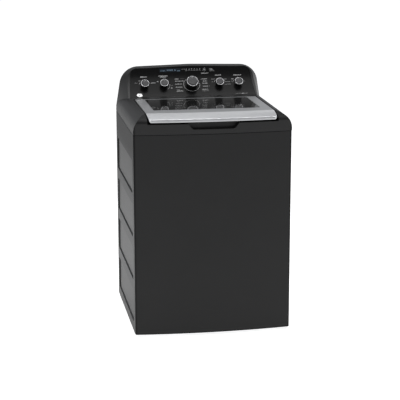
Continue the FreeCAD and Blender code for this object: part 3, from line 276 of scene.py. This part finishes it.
# ---- materials: darker tone, lighter tone, roughness range -----------------------------
ENAMEL_LEVEL, COVER_LEVEL = 0.21, 0.26
enamel = surface("dark_enamel", grey(0.0075), grey(0.0082), (0.40, 0.46), level=ENAMEL_LEVEL,
                 grain=1400, strength=0.12)
# Painted light on the cabinet sides: they reflect more low down and less higher up.
paint_side_light(enamel, ENAMEL_LEVEL, 0.08, 0.018, 0.50, 0.82)
cover_paint = surface("cover_enamel", grey(0.0082), grey(0.0090), (0.36, 0.42), level=COVER_LEVEL,
                      grain=1400, strength=0.12)
# Painted shade on the cover's flanks: they reflect less low down than higher up.
paint_side_light(cover_paint, COVER_LEVEL, 0.025, 0.09, 0.905, 0.940)
# Painted shadow in the well around the lid.
paint_well_shadow(cover_paint)
# Painted shade on the cover's sloping front ends.
paint_slope_shade(cover_paint)
housing = surface("housing_plastic", grey(0.0070), grey(0.0080), (0.34, 0.40), level=0.24,
                  grain=1600, strength=0.12)
gloss = surface("gloss_black", grey(0.0040), grey(0.0047), (0.20, 0.26), level=0.08, grain=700,
                strength=0.03)
lid_silver = surface("lid_silver", (0.40, 0.405, 0.415), (0.44, 0.445, 0.455), (0.30, 0.38), metal=0.75,
                     grain=1800, strength=0.35, depth=0.00004)
# Painted highlight on the lid's sloping front band.
paint_front_highlight(lid_silver)
galvanised = surface("galvanised", (0.40, 0.41, 0.42), (0.45, 0.46, 0.47), (0.36, 0.5), metal=0.85, grain=260,
                     tone_scale=140, strength=0.08)
steel = surface("machined_steel", (0.42, 0.42, 0.43), (0.52, 0.52, 0.53), (0.22, 0.34), metal=1.0, grain=900,
                stretch=(1, 1, 8), tone_scale=40)
rubber = surface("rubber", (0.010, 0.010, 0.010), (0.020, 0.020, 0.020), (0.7, 0.85), grain=600,
                 strength=0.4)
grey_plastic = surface("grey_plastic", (0.20, 0.21, 0.23), (0.23, 0.24, 0.26), (0.42, 0.52), grain=1200)
white_plastic = surface("white_plastic", (0.60, 0.60, 0.59), (0.66, 0.66, 0.65), (0.38, 0.48), grain=1200)
tub_plastic = surface("tub_plastic", (0.47, 0.48, 0.50), (0.50, 0.51, 0.53), (0.45, 0.6), grain=500,
                      tone_scale=14)
liner = surface("liner_plastic", grey(0.020), grey(0.026), (0.45, 0.55), grain=1500, strength=0.4)
motor_paint = surface("motor_paint", grey(0.03), grey(0.045), (0.4, 0.5), grain=500)
cast = surface("cast_alloy", (0.33, 0.33, 0.34), (0.45, 0.45, 0.46), (0.4, 0.6), metal=0.9, grain=350,
               strength=0.6)
board = surface("circuit_board", (0.010, 0.09, 0.035), (0.015, 0.13, 0.05), (0.25, 0.4), grain=300,
                tone_scale=160)
knob_black = surface("knob_black", grey(0.006), grey(0.009), (0.22, 0.30), level=0.45, grain=1500,
                     strength=0.1)
chrome = surface("chrome", (0.44, 0.44, 0.45), (0.52, 0.52, 0.53), (0.10, 0.16), metal=1.0, grain=900,
                 strength=0.02)
brushed_cap = surface("brushed_cap", (0.012, 0.012, 0.013), (0.034, 0.034, 0.036), (0.34, 0.46), metal=0.5,
                      grain=2600, stretch=(0.06, 1, 1), tone_scale=900, strength=0.3)
PRINT = {"grain": 2000, "strength": 0.05}
print_white = surface("print_white", (0.34, 0.34, 0.34), (0.42, 0.42, 0.42), (0.45, 0.55), **PRINT)
print_grey = surface("print_grey", (0.14, 0.14, 0.14), (0.18, 0.18, 0.18), (0.45, 0.55), **PRINT)
print_blue = surface("print_blue", (0.10, 0.16, 0.21), (0.14, 0.20, 0.26), (0.4, 0.5), **PRINT)
badge_silver = surface("badge_silver", (0.62, 0.62, 0.62), (0.72, 0.72, 0.72), (0.25, 0.35), metal=0.5,
                       grain=1500)
display_dark = surface("display_dark", (0.003, 0.007, 0.012), (0.005, 0.011, 0.019), (0.08, 0.12), grain=500,
                       strength=0.02)


def glass_material():
    """Dark tinted glass, shown opaque, without relief."""
    material, tree, shader = new_material("tinted_glass", grey(0.010), 0.04)
    tree.links.new(spread(tree, noise_of(tree, 3.0, 2), 0.05, 0.07), shader.inputs["Roughness"])
    two_tone(tree, shader, noise_of(tree, 2.0, 2), grey(0.010), grey(0.013))
    return material


def perforated_steel():
    """Brushed stainless sheet with rows of round holes around the basket. The holes are painted near-black,
    as painted shade for the gap behind them.
    """
    holes_around, row_height = 144, 0.012
    first_z, last_z = 0.385, 0.79
    hole_edge = (0.13, 0.17)  # from the hole's middle, as a share of the spacing
    material, tree, shader = new_material("perforated_stainless", (0.5, 0.5, 0.51), 0.28, 1.0)

    def op(kind, first, second=None):
        return maths(tree, kind, first, second)

    x, y, z = position(tree)
    angle = op("ARCTAN2", op("ADD", y, -TUB_Y * MM), x)
    around = op("MULTIPLY", angle, holes_around / (2 * math.pi))
    rows = op("MULTIPLY", z, 1 / row_height)
    shift = op("MULTIPLY", op("FLOOR", op("MODULO", rows, 2.0)), 0.5)
    sideways = op("SUBTRACT", op("FRACT", op("ADD", op("ADD", around, 200.0), shift)), 0.5)
    upwards = op("SUBTRACT", op("FRACT", rows), 0.5)
    distance = op("SQRT", op("ADD", product(tree, sideways, sideways), product(tree, upwards, upwards)))
    sheet = range_node(tree, distance, *hole_edge, 0.0, 1.0)
    band = op("MULTIPLY", op("GREATER_THAN", z, first_z), op("LESS_THAN", z, last_z))
    solid = op("MAXIMUM", sheet, op("SUBTRACT", 1.0, band))
    # The holes' near-black is painted shade; the sheet between them keeps the steel's tone.
    ramp = tree.nodes.new("ShaderNodeValToRGB")
    ramp.color_ramp.elements[0].color = (0.01, 0.01, 0.01, 1)
    ramp.color_ramp.elements[1].color = (0.52, 0.52, 0.53, 1)
    tree.links.new(solid, ramp.inputs["Fac"])
    tree.links.new(ramp.outputs["Color"], shader.inputs["Base Color"])
    brushed = noise_of(tree, 1200, 3, (1, 1, 0.05))
    tree.links.new(spread(tree, brushed, 0.22, 0.36), shader.inputs["Roughness"])
    bump(tree, shader, solid, 0.6, 0.0006)
    return material


glass = glass_material()
basket_steel = perforated_steel()

# ---- CAD nodes -------------------------------------------------------------------------
NODE_LOOKS = {
    "front_panel": enamel, "left_side_panel": enamel, "right_side_panel": enamel,
    "top_cover": cover_paint, "console_housing": housing, "console_fascia": gloss,
    "display_window": display_dark, "lid_frame": lid_silver, "lid_glass": glass, "lid_liner": liner,
    "lid_strike": white_plastic, "lid_hinge_pins": steel, "rear_panel": galvanised,
    "rear_screws": steel, "base_frame": galvanised, "foot_studs": steel, "foot_pads": rubber,
    "foot_lock_nuts": steel, "bleach_cup": grey_plastic, "lid_lock": white_plastic,
    "hinge_brackets": liner, "console_rear_cover": galvanised, "control_board": board,
    "selector_encoders": steel, "water_inlet_valve": white_plastic, "fill_hose": rubber,
    "fill_nozzle": grey_plastic, "cord_gland": liner, "drain_outlet": white_plastic,
    "drain_hose": grey_plastic, "drain_pump": white_plastic, "sump_bellows": rubber,
    "suspension_rods": steel, "suspension_end_caps": white_plastic, "suspension_brackets": galvanised,
    "outer_tub": tub_plastic, "tub_cover_ring": tub_plastic, "drive_platform": galvanised,
    "gearcase": cast, "tub_bearings": steel, "drive_motor": motor_paint, "mode_shifter": white_plastic,
    "drive_belt": rubber, "wash_basket": basket_steel, "basket_base": grey_plastic,
    "balance_ring": grey_plastic, "spin_tube": steel, "impeller": grey_plastic,
    "impeller_cap": grey_plastic, "agitator_shaft": steel, "gearcase_pulley": cast,
    "motor_pulley": cast, "start_pause_button": knob_black, "deep_fill_button": knob_black}

# Curved faces shade smoothly, and edges sharper than 32 degrees stay crisp.
for node_name, look in NODE_LOOKS.items():
    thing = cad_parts[node_name]
    if not thing.material_slots:
        thing.data.materials.append(look)
    for slot in thing.material_slots:
        slot.material = look
    for polygon in thing.data.polygons:
        polygon.use_smooth = True
    weld = thing.modifiers.new("weld", "WELD")
    weld.merge_threshold = 0.00002
    split = thing.modifiers.new("split", "EDGE_SPLIT")
    split.split_angle = math.radians(32)
    even = thing.modifiers.new("even", "WEIGHTED_NORMAL")
    even.weight = 80


# ---- mesh helpers --------------------------------------------------------------------
def piece(name, verts, faces, look, body, slot=None, smooth=True):
    mesh = bpy.data.meshes.new(name)
    mesh.from_pydata(verts, [], faces)
    mesh.materials.append(look)
    for polygon in mesh.polygons:
        polygon.use_smooth = smooth
    mesh.update()
    obj = bpy.data.objects.new(name, mesh)
    bpy.context.scene.collection.objects.link(obj)
    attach(obj, body)
    return obj


# Prints stand this high above the console face, and start this high, in mm.
PRINT_HEIGHT, UNDERSIDE = 0.12, 0.02


def face_point(x, s, h):
    """Point on the console face in metres: x across, s up along the face from the knobs, h out of it."""
    phi = LEAN - s / FACE_R
    r = FACE_R - h
    return Vector((x, CENTRE_Y + r * math.cos(phi), CENTRE_Z - r * math.sin(phi))) * MM


def face_s(z):
    """The distance s up the face for a height z."""
    return (LEAN - math.asin((CENTRE_Z - z) / FACE_R)) * FACE_R


def grid_patch(rows, height, closed=False):
    """Thin patch from rows of (x, s) points, standing height above the face. Closed: a full ring."""
    verts, faces = [], []
    count, wide = len(rows), len(rows[0])
    for level in (height, UNDERSIDE):
        for row in rows:
            verts += [face_point(x, s, level) for x, s in row]

    def at(r, c, low=0):
        return (low * count + r % count) * wide + c

    end = wide - 1
    for r in range(count if closed else count - 1):
        for c in range(end):
            faces.append((at(r, c), at(r + 1, c), at(r + 1, c + 1), at(r, c + 1)))
            faces.append((at(r, c, 1), at(r, c + 1, 1), at(r + 1, c + 1, 1), at(r + 1, c, 1)))
        faces.append((at(r, 0), at(r, 0, 1), at(r + 1, 0, 1), at(r + 1, 0)))
        faces.append((at(r, end), at(r + 1, end), at(r + 1, end, 1), at(r, end, 1)))
    if not closed:
        last = count - 1
        for c in range(end):
            faces.append((at(0, c), at(0, c + 1), at(0, c + 1, 1), at(0, c, 1)))
            faces.append((at(last, c), at(last, c, 1), at(last, c + 1, 1), at(last, c + 1)))
    return verts, faces


def bar_patch(x0, x1, s0, s1):
    return grid_patch([[(x0, s0), (x1, s0)], [(x0, s1), (x1, s1)]], PRINT_HEIGHT)


def arc_patch(x, s, r0, r1, start, end, steps=None):
    """Part of a ring, or all of it, between two angles in degrees."""
    full = abs(end - start) >= 360
    steps = steps or max(6, int(abs(end - start) / 6))
    angles = [math.radians(start + (end - start) * i / steps) for i in range(steps if full else steps + 1)]
    rows = [[(x + r * math.cos(a), s + r * math.sin(a)) for r in (r0, r1)] for a in angles]
    return grid_patch(rows, PRINT_HEIGHT, full)


def join_patches(patches):
    verts, faces = [], []
    for v, f in patches:
        start = len(verts)
        verts += v
        faces += [tuple(i + start for i in face) for face in f]
    return verts, faces


def words(x0, x1, s, size, seed):
    """A row of short strokes of the size of small print, without any letters in it."""
    rng = random.Random(seed)
    strokes = []
    x = x0
    while x < x1 - 0.6:
        width = rng.choice((0.5, 0.9, 1.3, 1.6)) * size * 0.45
        width = min(width, x1 - x)
        tall = size * rng.choice((0.75, 1.0, 1.0))
        strokes.append(bar_patch(x, x + width, s - size / 2, s - size / 2 + tall))
        x += width + 1.4 * size * 0.16
    return strokes


def lathe(name, profile, look, body, place, segs=96, flutes=0, flute_depth=0.0, slot=None, close=True):
    """Turned piece from (r, h) pairs in mm, placed by a matrix. A third value marks a fluted ring."""
    verts, faces = [], []
    for i in range(segs):
        a = 2 * math.pi * i / segs
        for r, h, *fluted in profile:
            if flutes and fluted:
                r -= flute_depth * (0.5 - 0.5 * math.cos(a * flutes)) ** 2
            verts.append(place @ (Vector((r * math.cos(a), r * math.sin(a), h)) * MM))
    n = len(profile)
    for i in range(segs):
        j = (i + 1) % segs
        for k in range(n - 1):
            faces.append((i * n + k, j * n + k, j * n + k + 1, i * n + k + 1))
    if close:
        faces.append(tuple(i * n for i in reversed(range(segs))))
        faces.append(tuple(i * n + n - 1 for i in range(segs)))
    return piece(name, verts, faces, look, body, slot)


def knob_frame(x):
    """Frame at a knob's middle, with z out of the face."""
    turn = Matrix.Rotation(math.radians(90) - LEAN, 4, "X")
    return Matrix.Translation(Vector((x, KNOB_Y, KNOB_Z)) * MM) @ turn


def face_frame(x, z):
    """Frame on the face at a height z, with its own z out of the face."""
    phi = math.asin((CENTRE_Z - z) / FACE_R)
    spot = Vector((x, CENTRE_Y + FACE_R * math.cos(phi), z)) * MM
    return Matrix.Translation(spot) @ Matrix.Rotation(math.radians(90) - phi, 4, "X")


# ---- knobs ---------------------------------------------------------------------------
def build_knob(body, node, x, r, r_base, height):
    """Fluted skirt, stem, bright ring, brushed cap and pointer, in place of one CAD knob."""
    place = knob_frame(x)
    # The skirt's foot clears the hollow face, which rises by r squared over twice its radius.
    foot = 1.0 + r_base ** 2 / (2 * FACE_R)
    wall = []
    for i in range(7):
        t = i / 6
        wall.append((r_base - 0.2 + (r - 1.6 - r_base) * t ** 1.6, foot + 1.0 + (height - 6.4 - foot) * t, 1))
    profile = [(r_base - 1.0, foot)] + wall + [(r - 1.3, height - 4.8), (r - 2.6, height - 4.4)]
    shell = lathe(node + "_body", profile, knob_black, body, place, 144, 24, 0.5)
    stem = lathe(node + "_stem", [(3.0, -15.5), (3.0, foot + 0.4)], knob_black, body, place, 32)
    bead = []
    for i in range(13):
        a = math.pi * (-0.5 + i / 12)
        bead.append((r - 1.3 + 1.2 * math.cos(a), height - 2.4 + 2.1 * math.sin(a)))
    bead += [(r - 2.4, height - 0.6), (r - 2.7, height - 1.4)]
    bead += [(r - 2.8, height - 3.4), (r - 2.5, height - 4.5)]
    ring = lathe(node + "_ring", bead + [bead[0]], chrome, body, place, 120, close=False)
    cap_r = r - 2.9
    dish = [(cap_r, height - 4.2), (cap_r, height - 1.8), (cap_r - 0.5, height - 1.3),
            (cap_r * 0.6, height - 1.5), (cap_r * 0.2, height - 1.65)]
    cap = lathe(node + "_cap", dish, brushed_cap, body, place)
    half, inner, outer = 0.5, cap_r * 0.62, cap_r - 1.0
    top = height - 1.25
    corners = [(-half, inner), (half, inner), (half, outer), (-half, outer)]
    verts = [place @ (Vector((a, b, h)) * MM) for h in (top - 0.5, top + 0.05) for a, b in corners]
    faces = [(3, 2, 1, 0), (4, 5, 6, 7), (0, 1, 5, 4), (1, 2, 6, 5), (2, 3, 7, 6), (3, 0, 4, 7)]
    mark = piece(node + "_mark", verts, faces, print_white, body, smooth=False)
    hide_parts(node)


for body_name, (node_name, knob_x) in SMALL_KNOBS.items():
    build_knob(body_name, node_name, knob_x, 19.2, 16.0, 24.0)
build_knob("cycle_selector", "cycle_knob", 0.0, 27.0, 25.0, 32.0)

# ---- printing on the fascia ----------------------------------------------------------
white, soft, blue = [], [], []


def print_rows(table):
    """Rows of small print: list, left end, right end, height up the face, size, random seed."""
    for strokes, x0, x1, s, size, seed in table:
        strokes.extend(words(x0, x1, s, size, seed))


# the dial: an arc with a dot for each cycle, and a row of print beside each dot
DIAL_DOTS_R = 41.0
white.append(arc_patch(0, 0, 36.4, 37.6, -232, 12))
for degrees in (158, 176, 194, 212, 228, 22, 6, -10, -26, -42):
    turn = math.radians(degrees)
    soft.append(arc_patch(DIAL_DOTS_R * math.cos(turn), DIAL_DOTS_R * math.sin(turn), 0.0, 0.8, 0, 360, 10))
ROWS_LEFT = ((30.8, -77, -58), (20.0, -76.5, -38), (4.4, -77, -45), (-12.2, -75.5, -46), (-34.7, -74, -43.5))
ROWS_RIGHT = ((28.0, 44.6, 73.7), (17.1, 54, 74), (5.5, 51, 76), (-10.6, 51.5, 76), (-28.1, 45.5, 74))
print_rows((white, x0, x1, s, 3.4, 10 + k) for k, (s, x0, x1) in enumerate(ROWS_LEFT + ROWS_RIGHT))
print_rows((
    (soft, -73, -58, -26.5, 2.6, 26), (soft, 46, 76, -37.2, 3.2, 27), (soft, 78.7, 84, -10.0, 2.4, 28)))
soft.append(bar_patch(-52, -30, 31.0, 31.5))

# the small knobs: a title above each, their settings, and the arc each of them has
print_rows((
    (white, -236, -205.4, 45.0, 4.4, 50), (white, -152, -108.6, 47.4, 3.4, 51),
    (white, 113.8, 143, 45.8, 4.4, 52), (white, 199.7, 236.2, 43.9, 4.4, 53),
    (white, -145, -116, 42.2, 3.2, 58), (white, -190, -168.3, 13.3, 3.2, 61),
    (soft, -264, -251, 15.0, 3.0, 62), (soft, -245, -236.2, 25.8, 3.4, 63),
    (white, -162, -154.5, 20.0, 4.6, 64), (white, -99, -91, -16.0, 3.4, 65),
    (soft, -97, -89, -1.7, 2.8, 66), (soft, 94, 112, 26.0, 3.4, 67),
    (soft, 96, 101, 11.8, 3.0, 68), (soft, 154, 166.5, 24.8, 3.6, 69),
    (soft, 157, 183, 10.8, 3.6, 70), (soft, 153, 183.3, -2.9, 3.2, 71),
    (white, 188.5, 200.8, 24.2, 3.6, 72), (soft, 187, 191.5, 12.8, 2.8, 73),
    (soft, 246.5, 251.7, 11.8, 3.4, 74)))
for x, r0, r1, start, end in ((-129.8, 27.0, 28.2, -58, 9), (-219.4, 25.0, 26.0, 138, 163),
                              (129.8, 25.0, 26.0, 125, 161), (219.4, 25.6, 26.6, 128, 161)):
    white.append(arc_patch(x, 0, r0, r1, start, end))

# the status row: six rings with a word below each
for k in range(6):
    x = -19.0 + 12.6 * k
    white.append(arc_patch(x, 78.0, 1.3, 2.3, 0, 360, 16))
    soft += words(x - 4.6, x + 4.6, 71.6 + 0.3 * (k % 2), 2.4, 80 + k)

# beside the status row and the buttons, along the bottom on the right, and on the display
SMALL_PRINT = face_s(982.0)
print_rows((
    (soft, -42.5, -24.0, 78.6, 2.8, 79), (white, 49, 84, 56.8, 3.6, 90),
    (white, 88.2, 103.1, 76.0, 3.4, 91), (soft, 90.8, 111.6, 67.2, 3.6, 92),
    (soft, 200, 226, SMALL_PRINT, 2.6, 93), (white, 228, 238, SMALL_PRINT, 4.4, 94),
    (soft, 242, 255, SMALL_PRINT, 3.2, 95), (blue, -110.3, -82, 75.4, 4.6, 96),
    (blue, -74, -69, 74.8, 6.6, 97), (blue, -62.3, -48.8, 71.1, 4.0, 98),
    (blue, -140, -118, 72.3, 2.6, 99)))
prints = piece("legend_prints", *join_patches(white), print_white, "cabinet", smooth=False)
faint = piece("legend_prints_faint", *join_patches(soft), print_grey, "cabinet", smooth=False)
glow = piece("display_marks", *join_patches(blue), print_blue, "cabinet", smooth=False)

# badge: a plain oval disc with a darker middle
BADGE = face_frame(-247.7, 984.5) @ Matrix.Scale(0.74, 4, (0, 1, 0)) @ Matrix.Scale(0.9, 4, (1, 0, 0))
lathe("badge_disc", [(14.6, 0.05), (14.6, 0.9), (13.8, 1.3), (11.2, 1.35), (10.8, 1.0), (4.0, 1.0)],
      badge_silver, "cabinet", BADGE, 72, slot="silver_frame")
lathe("badge_core", [(4.6, 0.6), (4.6, 1.12), (4.3, 1.2), (1.5, 1.2)], print_grey, "cabinet", BADGE, 48,
      slot="fascia_gloss")

# ring on the face around the start button
lathe("start_ring", [(7.2, 0.05), (7.2, 0.5), (8.0, 0.5), (8.0, 0.05), (7.2, 0.05)], chrome, "cabinet",
      face_frame(START_X, START_Z), 48, close=False, slot="silver_frame")


def button_mark(name, body, place, shapes, top):
    """Flat marks from outlines in mm. Their upper face is at top, above the console face."""
    verts, faces = [], []
    for shape in shapes:
        start = len(verts)
        n = len(shape)
        for level in (top, top - 0.4):
            verts += [place @ (Vector((a, b, level)) * MM) for a, b in shape]
        faces.append(tuple(range(start, start + n)))
        faces.append(tuple(reversed(range(start + n, start + 2 * n))))
        for i in range(n):
            j = (i + 1) % n
            faces.append((start + i, start + n + i, start + n + j, start + j))
    piece(name, verts, faces, print_white, body, "button_plastic", smooth=False)


button_mark("start_mark", "start_button", face_frame(START_X, START_Z),
            [[(-3.2, -2.6), (0.8, 0.0), (-3.2, 2.6)], [(1.7, -2.4), (2.5, -2.4), (2.5, 2.4), (1.7, 2.4)],
             [(3.3, -2.4), (4.1, -2.4), (4.1, 2.4), (3.3, 2.4)]], 2.1)
button_mark("fill_mark", "fill_button", face_frame(FILL_X, FILL_Z),
            [[(-6, -0.4), (6, -0.4), (6, 0.4), (-6, 0.4)]], 1.7)


# ---- suspension springs ----------------------------------------------------------------
def coil(x, y, low, top, r, wire, turns):
    """A helical spring standing along z, from round wire."""
    steps, sides = 24, 8
    total = turns * steps
    verts, faces = [], []
    for i in range(total + 1):
        a = 2 * math.pi * i / steps
        z = low + wire + (top - low - 2 * wire) * (i / total)
        middle = Vector((x + r * math.cos(a), y + r * math.sin(a), z))
        out = Vector((math.cos(a), math.sin(a), 0))
        for k in range(sides):
            b = 2 * math.pi * k / sides
            verts.append((middle + out * (wire * math.cos(b)) + Vector((0, 0, wire * math.sin(b)))) * MM)
    for i in range(total):
        for k in range(sides):
            m = (k + 1) % sides
            faces.append((i * sides + k, (i + 1) * sides + k, (i + 1) * sides + m, i * sides + m))
    faces.append(tuple(range(sides)))
    faces.append(tuple(reversed(range(total * sides, (total + 1) * sides))))
    return verts, faces


SPRING_X, SPRING_Y, SPRING_LOW, SPRING_TOP = 296.0, 262.0, 262.0, 352.0
coils = [coil(sx * SPRING_X, sy * SPRING_Y, SPRING_LOW, SPRING_TOP, r=15.7, wire=2.2, turns=9)
         for sx in (-1, 1) for sy in (-1, 1)]
springs = piece("suspension_coils", *join_patches(coils), steel, "cabinet", "machined_steel")
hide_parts("suspension_springs")
# Of the springs' 90 mm, 60 are left when the tub is 30 mm down.
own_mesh(springs)

# ---- bellows from the tub to the pump -------------------------------------------------
LOW_Z, TOP_Z, FOLDS = 124.2, 269.4, 14
INNER_R, NECK_R = 14.3, 18.0
folds = [(INNER_R, LOW_Z), (NECK_R, LOW_Z)]
for k in range(FOLDS):
    for t, r in ((0.2, 18.2), (0.35, 20.0), (0.5, 20.8), (0.65, 20.0), (0.8, 18.2)):
        folds.append((r, LOW_Z + (k + t) * (TOP_Z - LOW_Z) / FOLDS))
folds += [(NECK_R, TOP_Z), (INNER_R, TOP_Z), (INNER_R, LOW_Z)]
SUMP_AXIS = Matrix.Translation((-0.150, -0.150, 0))
bellows = lathe("sump_sleeve", folds, rubber, "cabinet", SUMP_AXIS, 48, slot="rubber_black", close=False)
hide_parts("sump_bellows")
# Of the sleeve's 145.2 mm, about 115 are left when the tub is 30 mm down.
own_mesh(bellows)

# ---- floor, light ----------------------------------------------------------------------
FLOOR_HALF = 60  # half of the floor's side, in metres
floor_corners = [(sx * FLOOR_HALF, sy * FLOOR_HALF, 0) for sx, sy in ((-1, -1), (1, -1), (1, 1), (-1, 1))]
floor_mesh = bpy.data.meshes.new("floor")
floor_mesh.from_pydata(floor_corners, [], [(0, 1, 2, 3)])
floor = bpy.data.objects.new("floor", floor_mesh)
bpy.context.scene.collection.objects.link(floor)
floor_look, _, floor_shader = new_material("floor_white", (0.86, 0.86, 0.86), 0.9, level=0.0)
floor_shader.inputs["Emission Color"].default_value = (1, 1, 1, 1)
floor_shader.inputs["Emission Strength"].default_value = 0.75
floor_mesh.materials.append(floor_look)

world = bpy.data.worlds.new("studio")
bpy.context.scene.world = world
world.use_nodes = True
background = world.node_tree.nodes["Background"]
background.inputs["Color"].default_value = (0.9, 0.92, 0.95, 1)
background.inputs["Strength"].default_value = 0.35


def area_light(name, where, towards, size, power):
    """A lamp of size width by height in metres, power in watts, turned towards a point."""
    data = bpy.data.lights.new(name, "AREA")
    data.shape = "RECTANGLE"
    data.size, data.size_y = size
    data.energy = power
    lamp = bpy.data.objects.new(name, data)
    lamp.location = where
    lamp.rotation_euler = (Vector(towards) - Vector(where)).to_track_quat("-Z", "Y").to_euler()
    bpy.context.scene.collection.objects.link(lamp)


area_light("key_left", (-4.5, -2.5, 3.2), (0, 0, 0.7), (3.0, 3.0), 110)
area_light("top_soft", (0.3, 0.2, 4.2), (0, 0, 0.5), (4.0, 3.0), 120)
area_light("fill_right", (4.2, -3.0, 2.2), (0, 0, 0.6), (2.5, 2.5), 40)
bpy.context.scene.view_settings.view_transform = "Standard"
